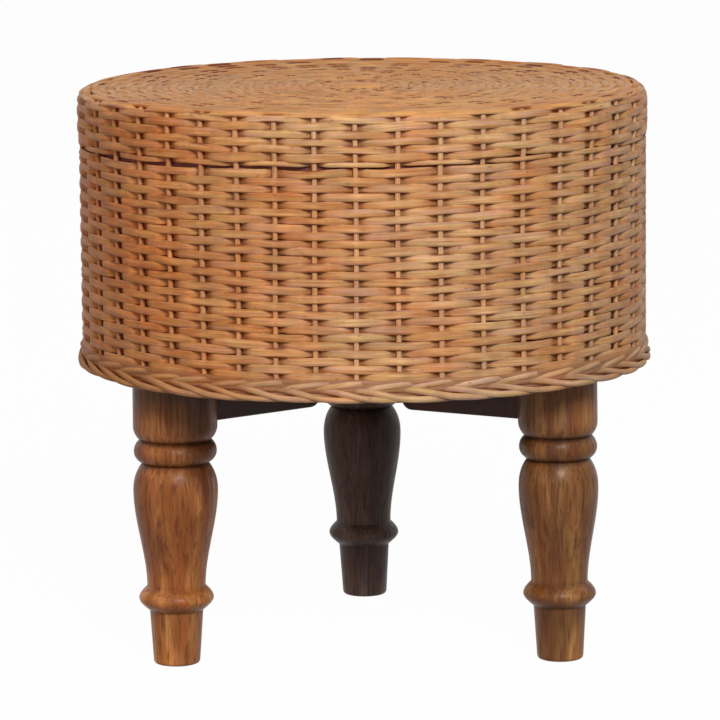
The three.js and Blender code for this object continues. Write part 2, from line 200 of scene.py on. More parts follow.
def smooth_line(points, steps):
    """A smooth line through points, with so many steps from each to the next."""
    knots = np.asarray(points, float)
    padded = np.vstack([2 * knots[0] - knots[1], knots, 2 * knots[-1] - knots[-2]])
    share = np.linspace(0, 1, steps, endpoint=False)[:, None]
    spans = []
    for before, start, end, after in zip(padded, padded[1:], padded[2:], padded[3:]):
        spans.append(
            0.5 * (
                2 * start
                + (end - before) * share
                + (2 * before - 5 * start + 4 * end - after) * share ** 2
                + (3 * start - before - 3 * end + after) * share ** 3
            )
        )
    return np.vstack([*spans, knots[-1:]])


def unit(vectors):
    return vectors / np.linalg.norm(vectors, axis=1, keepdims=True)


def ramp(value, start, length):
    """0 up to the start, 1 from so far past it, and rising evenly between them."""
    return np.clip((value - start) / length, 0, 1)


def eased(share):
    """A share of 0 to 1 that sets off and arrives gently."""
    return share * share * (3 - 2 * share)


def shaded(colour, shade):
    """A colour multiplied by a shade."""
    return tuple(channel * share for channel, share in zip(colour, shade))


class Bundle:
    """Strands of cane gathered into one mesh, with their lengths and rounds as the UV map."""

    def __init__(self, sides, squareness=3.1):
        self.sides = sides
        self.squareness = squareness
        self.places, self.faces, self.turns = [], [], []
        self.traits = {trait: [] for trait in TRAITS}
        self.count = 0

    def add(
        self, line, outward, depth, height, strand, tone_and_highlight, tuck_shade=0.0, flank_shade=0.0, groove=0.0, closed=False
    ):
        """A strand along a line, depth thick along outward and height across it."""
        number = len(line)
        if closed:
            travel = unit(np.roll(line, -1, 0) - np.roll(line, 1, 0))
        else:
            travel = unit(np.gradient(line, axis=0))
        outward = unit(outward - travel * np.sum(outward * travel, 1, keepdims=True))
        across = np.cross(travel, outward)
        around = np.linspace(0, 2 * math.pi, self.sides, endpoint=False)
        power = 2 / self.squareness
        out_share = np.sign(np.cos(around)) * np.abs(np.cos(around)) ** power / 2
        up_share = np.sign(np.sin(around)) * np.abs(np.sin(around)) ** power / 2
        out_size = np.outer(np.broadcast_to(depth, number), out_share)
        out_size[:, 0] -= groove
        up_size = np.outer(np.broadcast_to(height, number), up_share)
        places = (
            line[:, None, :]
            + outward[:, None, :] * out_size[:, :, None]
            + across[:, None, :] * up_size[:, :, None]
        )
        self.places.append(places.reshape(-1, 3))
        for trait, value in zip(TRAITS, (strand, tone_and_highlight, tuck_shade, flank_shade)):
            self.traits[trait].append(np.repeat(np.broadcast_to(value, number), self.sides))
        steps = np.linalg.norm(np.diff(np.vstack([line, line[:1]]), axis=0), axis=1)
        lengths = np.concatenate([[0], np.cumsum(steps)])
        spans = number if closed else number - 1
        i, j = np.meshgrid(np.arange(spans), np.arange(self.sides), indexing="ij")
        i, j = i.ravel(), j.ravel()
        after, beside = (i + 1) % number, (j + 1) % self.sides
        quads = np.stack([
            i * self.sides + j, i * self.sides + beside,
            after * self.sides + beside, after * self.sides + j,
        ], 1)
        self.faces.extend((quads + self.count).tolist())
        low, high = j / self.sides, (j + 1) / self.sides
        corners = np.stack([
            lengths[i], low, lengths[i], high, lengths[i + 1], high, lengths[i + 1], low,
        ], 1)
        self.turns.append(corners.reshape(-1, 2))
        if not closed:
            ring = np.arange(self.sides)
            self.faces.append((ring[::-1] + self.count).tolist())
            self.faces.append((ring + self.count + (number - 1) * self.sides).tolist())
            shares = ring / self.sides
            self.turns.append(np.stack([np.zeros(self.sides), shares[::-1]], 1))
            self.turns.append(np.stack([np.full(self.sides, lengths[number - 1]), shares], 1))
        self.count += number * self.sides

    def piece(self, name):
        """The bundle as a new object."""
        mesh = bpy.data.meshes.new(name)
        mesh.from_pydata(np.vstack(self.places).tolist(), [], self.faces)
        layer = mesh.uv_layers.new(name="cane")
        layer.data.foreach_set("uv", np.vstack(self.turns).astype(np.float32).ravel())
        for trait, values in self.traits.items():
            attribute = mesh.attributes.new(trait, "FLOAT", "POINT")
            attribute.data.foreach_set("value", np.concatenate(values).astype(np.float32))
        mesh.polygons.foreach_set("use_smooth", np.ones(len(mesh.polygons), bool))
        mesh.update()
        piece = bpy.data.objects.new(name, mesh)
        bpy.context.scene.collection.objects.link(piece)
        return piece


# Shared material work

def put(tree, socket, value):
    """Gives a socket a value, a colour or another node's output."""
    if isinstance(value, bpy.types.NodeSocket):
        tree.links.new(value, socket)
    elif isinstance(value, tuple) and len(value) == 3 and socket.type == "RGBA":
        socket.default_value = (*value, 1)
    else:
        socket.default_value = value


def add_node(tree, kind, **inputs):
    made = tree.nodes.new(kind)
    for name, value in inputs.items():
        put(tree, made.inputs[name.replace("_", " ")], value)
    return made


def math_node(tree, operation, *values):
    made = tree.nodes.new("ShaderNodeMath")
    made.operation = operation
    for socket, value in zip(made.inputs, values):
        put(tree, socket, value)
    return made.outputs[0]


class Finish:
    """A material in the making, with short calls for its nodes."""

    def __init__(self, name, roughness, specular=0.5):
        self.material = bpy.data.materials.new(name)
        self.material.use_nodes = True
        self.tree = self.material.node_tree
        self.tree.nodes.clear()
        self.shader = self.node(
            "ShaderNodeBsdfPrincipled", Roughness=roughness, Specular_IOR_Level=specular
        )
        self.output = self.node("ShaderNodeOutputMaterial", Surface=self.shader.outputs["BSDF"])

    def node(self, kind, **inputs):
        return add_node(self.tree, kind, **inputs)

    def shade(self, **inputs):
        """Gives the surface its colour, roughness and the like."""
        for name, value in inputs.items():
            put(self.tree, self.shader.inputs[name.replace("_", " ")], value)

    def math(self, operation, first, second=0.0):
        return math_node(self.tree, operation, first, second)

    def product(self, first, second):
        return self.math("MULTIPLY", first, second)

    def attribute(self, name):
        made = self.tree.nodes.new("ShaderNodeAttribute")
        made.attribute_name = name
        return made.outputs["Fac"]

    def vector(self, x, y, z):
        return self.node("ShaderNodeCombineXYZ", X=x, Y=y, Z=z).outputs[0]

    def object_place(self):
        return self.node("ShaderNodeTexCoord").outputs["Object"]

    def split(self, vector):
        return self.node("ShaderNodeSeparateXYZ", Vector=vector).outputs

    def noise(self, place, scale=1.0, detail=2.0, roughness=0.5, distortion=0.0):
        made = self.node(
            "ShaderNodeTexNoise", Vector=place, Scale=scale, Detail=detail, Roughness=roughness,
            Distortion=distortion,
        )
        return made.outputs["Fac"]

    def remap(self, value, low, high, to_low=0.0, to_high=1.0):
        made = self.tree.nodes.new("ShaderNodeMapRange")
        for socket, given in zip(made.inputs, (value, low, high, to_low, to_high)):
            put(self.tree, socket, given)
        return made.outputs[0]

    def mix(self, share, first, second, blend="MIX"):
        made = self.tree.nodes.new("ShaderNodeMix")
        made.data_type = "RGBA"
        made.blend_type = blend
        put(self.tree, made.inputs["Factor"], share)
        put(self.tree, made.inputs[6], first)
        put(self.tree, made.inputs[7], second)
        return made.outputs[2]

    def layer(self, colour, noise, span, strength, over):
        """Another colour laid over where the noise runs through a span, and past it."""
        return self.mix(self.remap(noise, *span, 0.0, strength), colour, over)

    def times(self, colour, factor):
        return self.mix(1.0, colour, factor, "MULTIPLY")

    def tint(self, share, colour, factor):
        """A colour multiplied by a factor, as far as the share says."""
        return self.mix(share, colour, self.times(colour, factor))

    def bump(self, height, strength, distance):
        made = self.node("ShaderNodeBump", Height=height, Strength=strength, Distance=distance)
        self.shade(Normal=made.outputs[0])


CANE_SPECULAR = 0.18
LANE_SPREAD = 173.0  # how far apart the noise of two strands can lie
# Noise on a strand: how tightly it runs along it and round it, and where it starts
CANE_NOISE = {
    "warmth": (24.0, 5.0, 7.0),
    "gilding": (19.0, 7.0, 29.0),
    "blush": (21.0, 8.0, 19.0),
    "speck": (160.0, 9.0, 0.0),
    "fibre": (26.0, 17.0, 0.0),
}
# Lightness: how fast it drifts along a strand, and what that drift and the strand's tone, with its painted
# highlight, count for
DRIFT_RUN, DRIFT_SHARE, TONE_SHARE = 13.0, 0.6, 0.5
MOTTLE_SCALE, PATCH_SCALE = 55.0, 17.0  # noise over the whole stool, per metre
GOLDEN_TINT, SILVER_TINT = (1.04, 0.93, 0.84), (1.02, 1.07, 1.09)
CAP_LIGHT_TINT, FLAT_TINT = (1.05, 1.1, 1.13), (1.12, 1.0, 0.75)
# Where the cane's colour changes over the stool, each from where it starts to where it is full: painted
# shade on the left side, painted light on the cap from the middle rightwards, and the flat of the seat
LEFT_SHADE_ACROSS, LEFT_SHADE_LEVEL = (-0.01, -0.22), (SEAT_BOX[1].z - 4 * MM, SEAT_BOX[1].z - 20 * MM)
CAP_LIGHT_ACROSS, CAP_LIGHT_LEVEL = (-0.12, 0.02), (0.404, 0.412)
FLAT_LEVEL = (SEAT_BOX[1].z - 5.5 * MM, SEAT_BOX[1].z - 1.5 * MM)
FLAT_EVENNESS = 0.3  # share by which the strands' colours differ less on the flat of the seat
# Painted shade in the tucks on the flat of the seat, growing deeper towards the back: where it starts and
# how much it grows
HOLLOW_BACK, HOLLOW_GROWTH = (-0.06, 0.12), 1.2  # how much darker the tucks are there towards the back


def cane_finish(
    name, colours, pale_share, roughness=0.5, blushes=(0.5, 0.68), warm=0.7, tint=(1.0, 1.0, 1.0),
    left_shade_tint=(0.87, 0.66, 0.46)
):
    """Peeled cane, with colour that drifts along each strand, fibres and dark specks; painted shade in the
    tucks, along the flanks and on the left side, painted light on the cap, and a painted highlight where a
    weaver crests a stake.
    """
    finish = Finish(name, roughness, CANE_SPECULAR)
    uv = finish.tree.nodes.new("ShaderNodeUVMap")
    uv.uv_map = "cane"
    along, around, _ = finish.split(uv.outputs[0])
    strand, tone_and_highlight, tuck_shade, flank_shade = (finish.attribute(trait) for trait in TRAITS)
    lane = finish.product(strand, LANE_SPREAD)

    def streak(kind, detail=1.0, rough=0.6):
        run, turn, start = CANE_NOISE[kind]
        place = finish.vector(
            finish.product(along, run), finish.product(around, turn), finish.math("ADD", lane, start)
        )
        return finish.noise(place, detail=detail, roughness=rough)

    drift = finish.noise(finish.vector(finish.product(along, DRIFT_RUN), lane, 0.0), detail=1.0)
    lightness = finish.math("ADD", finish.product(drift, DRIFT_SHARE), finish.product(tone_and_highlight, TONE_SHARE))
    tan, shade_and_speck = colours.cane_tan[:], colours.cane_shade_and_speck[:]
    colour = finish.mix(finish.remap(lightness, 0.36, 0.72 - pale_share), tan, colours.cane_pale[:])
    for noise, span, strength, over in (
        (streak("warmth"), (0.45, 0.66), warm, colours.cane_orange[:]),
        (streak("gilding"), (0.5, 0.68), 0.6, colours.cane_gold[:]),
        (streak("blush"), blushes, 0.85, colours.cane_pink[:]),
        (streak("speck", rough=0.5), (0.7, 0.78), 0.5, shade_and_speck),
    ):
        colour = finish.layer(colour, noise, span, strength, over)
    place = finish.object_place()
    fibre = streak("fibre", 3.0)
    mottle = finish.noise(place, scale=MOTTLE_SCALE, detail=3.0)
    for grey in (finish.remap(fibre, 0.36, 0.62, 0.78, 1.14), finish.remap(mottle, 0.35, 0.65, 0.86, 1.1)):
        colour = finish.times(colour, finish.vector(grey, grey, grey))
    colour = finish.times(colour, tint)
    patch = finish.noise(place, scale=PATCH_SCALE)
    sideways, backwards, level = finish.split(place)
    cap_light = finish.product(
        finish.remap(sideways, *CAP_LIGHT_ACROSS), finish.remap(level, *CAP_LIGHT_LEVEL)
    )
    flat = finish.remap(level, *FLAT_LEVEL)
    left_shade = finish.product(finish.remap(sideways, *LEFT_SHADE_ACROSS), finish.remap(level, *LEFT_SHADE_LEVEL))
    colour = finish.tint(finish.remap(patch, 0.5, 0.62), colour, GOLDEN_TINT)
    colour = finish.tint(finish.remap(patch, 0.47, 0.37), colour, SILVER_TINT)
    # Painted light, paler and greyer on the cap from the middle rightwards
    colour = finish.tint(cap_light, colour, CAP_LIGHT_TINT)
    colour = finish.mix(finish.product(flat, FLAT_EVENNESS), colour, tan)
    colour = finish.tint(flat, colour, FLAT_TINT)
    # Painted shade, darker and browner on the left side
    colour = finish.tint(left_shade, colour, left_shade_tint)
    turned = finish.math("ABSOLUTE", finish.math("SINE", finish.product(around, 2 * math.pi)))
    # Painted shade along the flanks of each strand, and in its tucks
    hollow_shade = finish.math("MAXIMUM", tuck_shade, finish.product(flank_shade, finish.remap(turned, 0.3, 0.8)))
    growth = finish.product(flat, finish.remap(backwards, *HOLLOW_BACK, 0.0, HOLLOW_GROWTH))
    colour = finish.mix(finish.product(hollow_shade, finish.math("ADD", growth, 1.0)), colour, shade_and_speck)
    # Painted shade of the ring inside the seam
    colour = finish.mix(finish.remap(tuck_shade, 1.0, 2.0), colour, colours.cane_seam_shade[:])
    finish.shade(
        Base_Color=colour,
        Roughness=finish.remap(fibre, 0.2, 0.8, roughness - 0.1, roughness + 0.12),
    )
    finish.bump(fibre, 0.5, 0.5 * MM)
    return finish.material


# Noise in wood: how tightly it runs across the grain and along it, its detail and any distortion
WOOD_NOISE = {
    "lines": (420.0, 40.0, 2.0),
    "pores": (950.0, 75.0, 1.0),
    "blotch": (38.0, 9.0, 2.0),
    "gilding": (210.0, 17.0, 3.0),
    "figure": (70.0, 5.0, 3.0, 0.4),
}
RED_TINT, GOLD_TINT = (1.12, 0.82, 0.85), (1.05, 1.2, 0.85)
# Painted light and shade on a leg: lighter towards the foot and over the block as painted light, the block's
# top darker as painted shadow from the drum, and the grooves darker as painted shade
FOOT_LIGHT_LEVEL, BLOCK_LEVEL = (0.1, 0.025), (0.174, 0.196)  # heights on a leg
FOOT_LIGHT_TINT, BLOCK_LIGHT_TINT = (1.85, 2.1, 2.1), (1.07, 1.23, 1.48)
DRUM_SHADOW_TINT, GROOVE_SHADE_TINT = (0.3, 0.31, 0.37), (0.2, 0.17, 0.18)


def wood_finish(name, pale, brown, dark, roughness, coat, run_axis=2, grain=1.0, shadow_heights=None, lift=1.0):
    """Wood whose grain runs along one axis, under a thin varnish. Given shadow heights, it also gets painted
    light towards the foot and over the block, painted shadow from the drum over those heights, and painted
    shade in the grooves.
    """
    finish = Finish(name, roughness, 0.2 if coat else 0.15)
    finish.shade(Coat_Weight=coat, Coat_Roughness=0.22)
    place = finish.object_place()

    def grained(kind):
        across, along, detail, *distortion = WOOD_NOISE[kind]
        scale = [across * grain] * 3
        scale[run_axis] = along * grain
        mapping = finish.node("ShaderNodeMapping", Vector=place, Scale=tuple(scale))
        return finish.noise(mapping.outputs[0], 1.0, detail, 0.5, *distortion)

    lines, pores, blotch, gilding = (grained(kind) for kind in ("lines", "pores", "blotch", "gilding"))
    red, gold = shaded(brown, RED_TINT), shaded(brown, GOLD_TINT)
    colour = brown
    for noise, span, strength, over in (
        (grained("figure"), (0.38, 0.64), 1.0, pale),
        (gilding, (0.52, 0.62), 0.6, gold),
        (gilding, (0.48, 0.38), 0.6, red),
        (lines, (0.5, 0.7), 0.6, dark),
        (pores, (0.58, 0.72), 0.4, dark),
        (blotch, (0.46, 0.66), 0.65, dark),
    ):
        colour = finish.layer(colour, noise, span, strength, over)
    if shadow_heights:
        level = finish.split(place)[2]
        # Painted light, lighter towards the foot
        colour = finish.tint(finish.remap(level, *FOOT_LIGHT_LEVEL), colour, FOOT_LIGHT_TINT)
        # Painted light, brightening the block under the drum by the leg's lift
        block_light = shaded(BLOCK_LIGHT_TINT, (lift, lift, lift))
        colour = finish.tint(finish.remap(level, *BLOCK_LEVEL), colour, block_light)
        # Painted shadow from the drum, darkening the top of the block
        colour = finish.tint(finish.remap(level, *shadow_heights), colour, DRUM_SHADOW_TINT)
        # Painted shade in the grooves of the turning
        colour = finish.tint(finish.attribute("groove"), colour, GROOVE_SHADE_TINT)
    finish.shade(
        Base_Color=colour,
        Roughness=finish.remap(lines, 0.3, 0.7, roughness - 0.06, roughness + 0.1),
    )
    finish.bump(finish.math("ADD", lines, pores), 0.12, 0.3 * MM)
    return finish.material


# Where the strands run

STAKE_DRIFT = ((-0.96, 0.35), (-2.4, -1.9))  # degrees, sine and cosine of once and twice round
STAKE_START = -0.72  # degrees
CAP_BRIM = 1.1 * MM  # how far the cap stands out over the wall
BRIM_RISE, BRIM_REACH = 8 * MM, 60 * MM  # over the seam and in along the top, where it comes and goes
SIDE_SHOULDER = 13 * MM  # the fuller rounding of the seat's edge at the two sides
SIDE_EASE = 0.18  # share by which the edge is drawn in there


def stake_angle(steps, count):
    """The angle of a place counted in stakes from the front, in radians towards +X."""
    even = np.asarray(steps, float) * 2 * math.pi / count
    drift = STAKE_START
    for turns, (sine, cosine) in enumerate(STAKE_DRIFT, 1):
        drift = drift + sine * np.sin(turns * even) + cosine * np.cos(turns * even)
    return even + np.radians(drift)


def round_the_stool(angles, radius, height):
    radius = np.broadcast_to(radius, angles.shape)
    height = np.broadcast_to(height, angles.shape)
    return np.stack([radius * np.sin(angles), -radius * np.cos(angles), height], 1)


class Profile:
    """The middle of the weave as seen in section: up the wall, over the shoulder and in along the top."""

    def __init__(self, weave, bottom):
        self.depth = weave.stake_depth + 2 * weave.weaver_depth
        self.edge = WALL_BOX[1].y
        self.rounding = weave.shoulder_radius
        self.bottom = bottom
        self.side_length = SEAT_BOX[1].z - self.rounding - bottom
        self.bend_length = self.rounding * math.pi / 2
        self.top_start = self.side_length + self.bend_length

    def place(self, distance):
        """Radius, height and outward direction of the weave's middle, by distance over its outside."""
        past_side = distance - self.side_length
        lean = min(max(past_side / self.rounding, 0), math.pi / 2)
        inward = max(past_side - self.bend_length, 0)
        out, up = math.cos(lean), math.sin(lean)
        reach = self.rounding - self.depth / 2
        radius = self.edge - self.rounding + reach * out - inward
        rise = reach * up + self.bottom + min(distance, self.side_length)
        brim = min(max((rise - SEAT_BOX[0].z) / BRIM_RISE, 0), 1) * max(1 - inward / BRIM_REACH, 0)
        return radius + CAP_BRIM * brim, rise, out, up


SEAM_KNOTS = (  # degrees from the front, how far the open seam lies off its level, how far it gapes
    (-150, -1.2, 0.8), (-100, -2.6, 0.6), (-70, -3.6, 1.2), (-60, -3.0, 2.0), (-50, -3.2, 1.6),
    (-38, -2.0, 2.1), (-28, -1.6, 1.2), (-20, -0.7, 1.7), (-12, -1.0, 1.8), (-4, -0.4, 1.5),
    (3, -0.9, 1.3), (10, 0.1, 1.0), (20, 0.0, 0.9),
    (32, 0.1, 0.3), (60, 0.2, 0.3), (100, 0.3, 0.6), (160, -0.6, 0.8),
)
SEAM_REACH = {False: 34 * MM, True: 60 * MM}  # how far the rows under and over the seam give way


def seam_give(angles, away, over):
    """How far a row this far from the seam is moved up, and the share by which it grows taller."""
    degrees, level, gape = np.array(SEAM_KNOTS).T
    turned = np.degrees(angles)
    moved = np.interp(turned, degrees, level, period=360)
    moved = moved + (1 if over else -1) * (np.interp(turned, degrees, gape, period=360) - 1)
    fading = math.exp(-away / SEAM_REACH[over])
    growth = moved * MM * fading / SEAM_REACH[over]
    return moved * MM * fading, 1 + (-growth if over else growth)


# A weaver's way from the stake that it passes outside, at 0, to the one that it passes inside, at 1
DIVE_START, DIVE_LENGTH = 0.6, 0.32
FLOAT_SAG = 0.15  # how far it has sunk before it dives
REACH_SHARE = 0.85  # how far out it swings, of what the stake's thickness asks for
# How one weaver strays from the next
SIZE_SPREAD = 0.06
NUDGE, TILT, MOST_STRAY = 0.24 * MM, 0.3 * MM, 1.5
SWAY, SWAY_WAVES = 0.12 * MM, 6  # slow waves of a row round the drum
SPLIT_DEPTH, SPLIT_SHARE = 0.8 * MM, 0.14  # some weavers have a groove along them
FULL_TURN = 6.3  # a little over 2 pi, for phases drawn at random


def woven_row(
    bundle, weave, source, profile, distance, row, steps, pair=1, full=1.0, give=None, relief=1.0,
    flank_shadings=None
):
    """One row of weaving round the stool, over one stake or pair and under the next."""
    strand = source.random()
    radius, height, out, up = profile.place(distance)
    count = weave.stakes
    middle = 0.5 * (pair - 1)
    start = count / 2 + middle + pair * ((row + 1) % 2)
    steps_round = start + np.arange(count * steps) / steps
    passed = (steps_round - middle) / pair + row
    phase = math.pi * passed
    front = (1 + np.cos(phase)) / 2
    flat_front = front + 0.5 * (eased(front) - front)
    past_front = np.arccos(np.clip(np.cos(phase), -1, 1)) / math.pi
    dive = ramp(past_front, DIVE_START, DIVE_LENGTH)
    swing = 1 - 2 * eased(dive) - FLOAT_SAG * (1 - front) * (1 - dive)
    number = count // (2 * pair)
    pick = np.floor((passed + 1) / 2).astype(int) % number
    size = 1 + SIZE_SPREAD * source.standard_normal(number)[pick]
    # The weaver's random tone, plus a painted highlight where it crests over a stake
    tone_and_highlight = source.random(number)[pick] + 0.5 * (1 - ramp(past_front, 0, 0.12))
    nudge, tilt = (
        most * np.clip(source.standard_normal(number), -MOST_STRAY, MOST_STRAY)[pick]
        for most in (NUDGE, TILT)
    )
    groove = SPLIT_DEPTH * (source.random(number) < SPLIT_SHARE)[pick] * front
    flank_shading = (source.random(number) ** 2 if flank_shadings is None else flank_shadings[:number])[pick]
    angles = stake_angle(steps_round, count)
    sway = sum(
        SWAY * source.standard_normal() * np.sin(turns * angles + source.random() * FULL_TURN)
        for turns in range(1, SWAY_WAVES + 1)
    )
    tall = weave.tuck_height + (weave.float_height * size - weave.tuck_height) * flat_front
    along = front * nudge + tilt * np.sin(phase) + sway
    if give is not None:
        moved, growth = seam_give(angles, *give)
        along, tall = along + moved, tall * growth
    reach = relief * REACH_SHARE * (weave.stake_depth + weave.weaver_depth) / 2 * swing
    line = round_the_stool(angles, radius + out * reach - up * along, height + up * reach + out * along)
    # Painted shade where the weaver dives behind the next stake
    tuck_shade = 0.12 * ramp(past_front, 0.3, 0.4) + 0.36 * ramp(past_front, 0.76, 0.1)
    # Painted shade along the weaver's flanks, between it and the next rows
    flank_shade = 0.12 + 0.85 * flank_shading * ramp(front, 0.75, 0.2)
    bundle.add(
        line, round_the_stool(angles, out, up), weave.weaver_depth, tall * full, strand, tone_and_highlight, tuck_shade,
        flank_shade, groove, closed=True,
    )


def ease_sides(bundle):
    """Rounds the seat's edge more fully at the two sides than at the front and back."""
    places = np.vstack(bundle.places)
    radius = np.hypot(places[:, 0], places[:, 1])
    least = np.maximum(radius, 1 * MM)
    middle, level = SEAT_BOX[1].x + CAP_BRIM - SIDE_SHOULDER, SEAT_BOX[1].z - SIDE_SHOULDER
    out, up = np.maximum(radius - middle, 0), np.maximum(places[:, 2] - level, 0)
    sideways = (places[:, 0] / least) ** 4
    ease = SIDE_EASE * sideways * np.sin(2 * np.arctan2(up, out)) ** 2
    drawn = 1 - out * ease / least
    bundle.places = [np.stack([places[:, 0] * drawn, places[:, 1] * drawn, places[:, 2] - up * ease], 1)]


def add_material(name, make):
    """The material of that name, made once."""
    return bpy.data.materials.get(name) or make(name)


RING_STEPS = 160


def inner_ring(bundle, radius, height, thickness, tall, strand, tuck_shade):
    """A run of cane right round the inside of the stakes, coloured as painted shade where it shows through
    gaps.
    """
    angles = np.linspace(0, 2 * math.pi, RING_STEPS, endpoint=False)
    line = round_the_stool(angles, radius, height)
    bundle.add(line, round_the_stool(angles, 1.0, 0.0), thickness, tall, strand, 0.3, tuck_shade, closed=True)


# The cane of the weave, of the border and waling, and of the stakes, as what cane_finish takes
CANES = {
    "cane_finish": (0.0,),
    "border_finish": (0.6, 0.55, (0.42, 0.6), 0.15, (1.03, 1.17, 1.27), (0.72, 0.52, 0.33)),
    "stake_finish": (0.3, 0.55, (0.42, 0.6)),
}


def finish_cane(context, bundle, name, nodes=(), finish="cane_finish"):
    """Makes a bundle a piece of the stool."""
    colours = context.scene.stool_colours
    material = add_material(finish, lambda title: cane_finish(title, colours, *CANES[finish]))
    finish_piece(bundle.piece(name), material, nodes)


CLOSE_SIDES, CLOSE_STEPS = 12, 12  # sides of a strand that is seen from near, and its steps to a stake
TOP_SIDES, TOP_STEPS, PAIRED_STEPS, TOP_SQUARENESS = 8, 8, 5, 4.2
WALL_DROP = 2.4 * MM  # how far the rows start under the solid wall


class STOOL_OT_wall(bpy.types.Operator):
    """Weaves the drum's wall, from the waling up to the open row under the cap"""
    bl_idname = "stool.wall"
    bl_label = "Weave the wall"

    def execute(self, context):
        weave = context.scene.stool_weave
        source = np.random.default_rng(11)
        bottom, top = WALL_BOX[0].z - WALL_DROP, WALL_BOX[1].z
        profile = Profile(weave, bottom)
        rows = 2 * math.ceil((top - bottom) / weave.row_pitch / 2) - 1
        pitch = (top - bottom) / rows
        lower, upper = Bundle(CLOSE_SIDES), Bundle(CLOSE_SIDES)
        for row in range(rows):
            distance = (row + 0.5) * pitch
            woven_row(
                lower if row < rows / 2 else upper, weave, source, profile, distance, row + 1,
                CLOSE_STEPS, give=(top - bottom - distance, False),
            )
        inside = WALL_BOX[1].y - profile.depth + 0.4 * MM
        # A ring of painted shade inside the open seam
        inner_ring(upper, inside, top - 1 * MM, 2.4 * MM, 14 * MM, source.random(), 1.9)
        for bundle, name in ((lower, "wall_weave_lower"), (upper, "wall_weave_upper")):
            finish_cane(context, bundle, name, ["woven_wall"])
        return {"FINISHED"}


class STOOL_OT_cap(bpy.types.Operator):
    """Weaves the cap: the rows over the open one, the shoulder and the flat of the seat"""
    bl_idname = "stool.cap"
    bl_label = "Weave the cap"

    def execute(self, context):
        weave = context.scene.stool_weave
        source = np.random.default_rng(23)
        profile = Profile(weave, SEAT_BOX[0].z)
        skirt, top = Bundle(CLOSE_SIDES), Bundle(TOP_SIDES, TOP_SQUARENESS)
        side_rows = self.weave_side(weave, source, profile, skirt)
        self.weave_top(weave, source, profile, top, side_rows)
        for bundle, name in ((skirt, "cap_skirt_weave"), (top, "seat_weave")):
            ease_sides(bundle)
            finish_cane(context, bundle, name, ["woven_seat"])
        return {"FINISHED"}

    def weave_side(self, weave, source, profile, skirt):
        """The thin row over the seam and the full ones up to the flat. Gives their number."""
        seam_row = weave.seam_row
        full_rows = round((profile.top_start - seam_row) / weave.row_pitch)
        pitch = (profile.top_start - seam_row) / full_rows
        for row in range(full_rows + 1):
            distance = seam_row / 2 if row == 0 else seam_row + (row - 0.5) * pitch
            woven_row(
                skirt, weave, source, profile, distance, row, CLOSE_STEPS,
                full=seam_row / weave.row_pitch if row == 0 else 1.0, give=(distance, True),
            )
        return full_rows + 1

    def weave_top(self, weave, source, profile, top, side_rows):
        """The rows of the flat. Of every four, the last two take painted shade along their flanks where the
        first two do.
        """
        flat = SEAT_BOX[1].x - weave.shoulder_radius - weave.disc_radius
        rows = round(flat / weave.row_pitch)
        pitch = flat / rows
        flank_shadings = {}
        for row in range(rows):
            if row % 4 < 2:
                flank_shadings[row % 2] = np.clip(source.random(weave.stakes) * 3 - 1.5, 0, 1)
            distance = profile.top_start + (row + 0.5) * pitch
            paired = profile.place(distance)[0] < weave.paired_radius
            woven_row(
                top, weave, source, profile, distance, row + side_rows,
                PAIRED_STEPS if paired else TOP_STEPS, pair=2 if paired else 1, give=(distance, True),
                relief=0.45 + 0.5 * math.exp(-row / 2), flank_shadings=flank_shadings[row % 2],
            )


# Points of a stake up the wall, over the shoulder and in along the seat
STAKE_STEPS = (40, 8, 50)
STAKE_FOOT, STAKE_END = 12 * MM, 3 * MM  # how far it reaches past the wall's foot and the disc's edge
STAKE_PROUD = 0.8 * MM  # how far it stands out of the middle of the weave
WANDER, WANDER_RATE = 0.35 * MM, 26  # how far it sways sideways, and radians of that to the metre
# Where stakes draw together in pairs: how far outside the paired radius that starts, over what length,
# how much slimmer they are then, and how far each is from its pair's middle, as a share of its girth
GATHER_START, GATHER_LENGTH, GATHER_SLIM, GATHER_APART = 6 * MM, 16 * MM, 0.32, 0.52


class STOOL_OT_stakes(bpy.types.Operator):
    """Stands the stakes round the drum and bends them in over the seat"""
    bl_idname = "stool.stakes"
    bl_label = "Set the stakes"

    def execute(self, context):
        weave = context.scene.stool_weave
        source = np.random.default_rng(37)
        profile = Profile(weave, WALL_BOX[0].z - STAKE_FOOT)
        end = profile.top_start + SEAT_BOX[1].x - weave.shoulder_radius
        end -= weave.disc_radius - STAKE_END
        marks = (0, profile.side_length, profile.top_start, end)
        distances = np.concatenate([
            np.linspace(start, stop, steps, endpoint=stop == end)
            for start, stop, steps in zip(marks, marks[1:], STAKE_STEPS)
        ])
        radius, height, out, up = np.array([profile.place(distance) for distance in distances]).T
        gather = eased(ramp(weave.paired_radius + GATHER_START, radius, GATHER_LENGTH))
        girth = weave.stake_width * (1 - GATHER_SLIM * gather)
        proud = STAKE_PROUD * (1 - gather)
        bundle = Bundle(10)
        for stake in range(weave.stakes):
            angle, partner = (
                stake_angle(np.full(len(distances), float(number)), weave.stakes)
                for number in (stake, stake + (1 if stake % 2 == 0 else -1))
            )
            middle = (angle + partner) / 2
            apart = np.sign(angle - middle) * girth * GATHER_APART / np.maximum(radius, 5 * MM)
            sway = np.sin(distances * WANDER_RATE + source.random() * FULL_TURN)
            wander = WANDER * sway / np.maximum(radius, 100 * MM)
            angle = (1 - gather) * angle + gather * (middle + apart) + wander * (1 - gather)
            line = round_the_stool(angle, radius + proud * out, height + 0.3 * proud * up)
            bundle.add(
                line, round_the_stool(angle, out, up), girth * weave.stake_depth / weave.stake_width,
                girth * (1 + 0.05 * source.standard_normal()), source.random(),
                0.5 + 0.5 * source.random(),
            )
        ease_sides(bundle)
        finish_cane(context, bundle, "stakes", finish="stake_finish")
        return {"FINISHED"}


